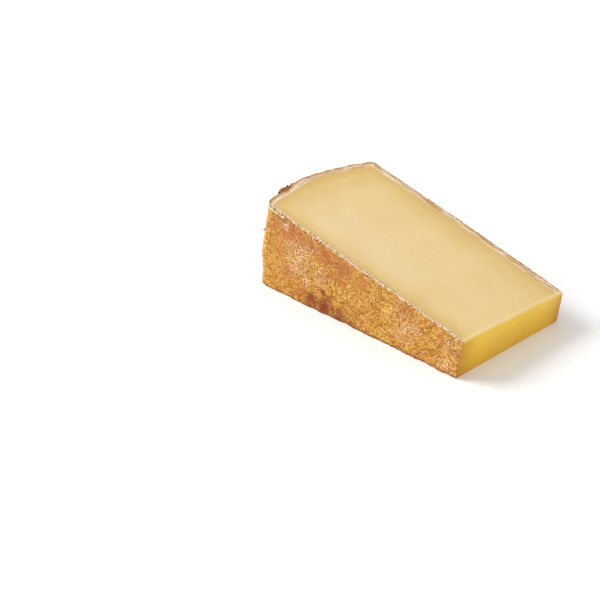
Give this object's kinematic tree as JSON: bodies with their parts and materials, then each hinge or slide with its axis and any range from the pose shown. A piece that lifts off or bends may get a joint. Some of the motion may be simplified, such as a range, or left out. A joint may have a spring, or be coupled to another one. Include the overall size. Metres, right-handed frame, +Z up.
{
  "type": "cut wedge of comte cheese",
  "caption": "Cut wedge of a pressed mountain cheese, lying on one cut face, with grainy brown rind on both sides and the rim, and smooth pale yellow paste.",
  "frame": {"origin": "middle of the bounding box, on the surface the wedge rests on", "axes": "+X along the length, from the rounded rim to the cut nose; +Y across the wheel's thickness, from the near rind to the far one; +Z up, away from the resting cut face"},
  "size_m": [0.1994, 0.1026, 0.0689],
  "materials": {
    "cheese": "satin"
  },
  "bodies": {
    "root": {"comte_wedge": "cheese"}
  },
  "joints": []
}
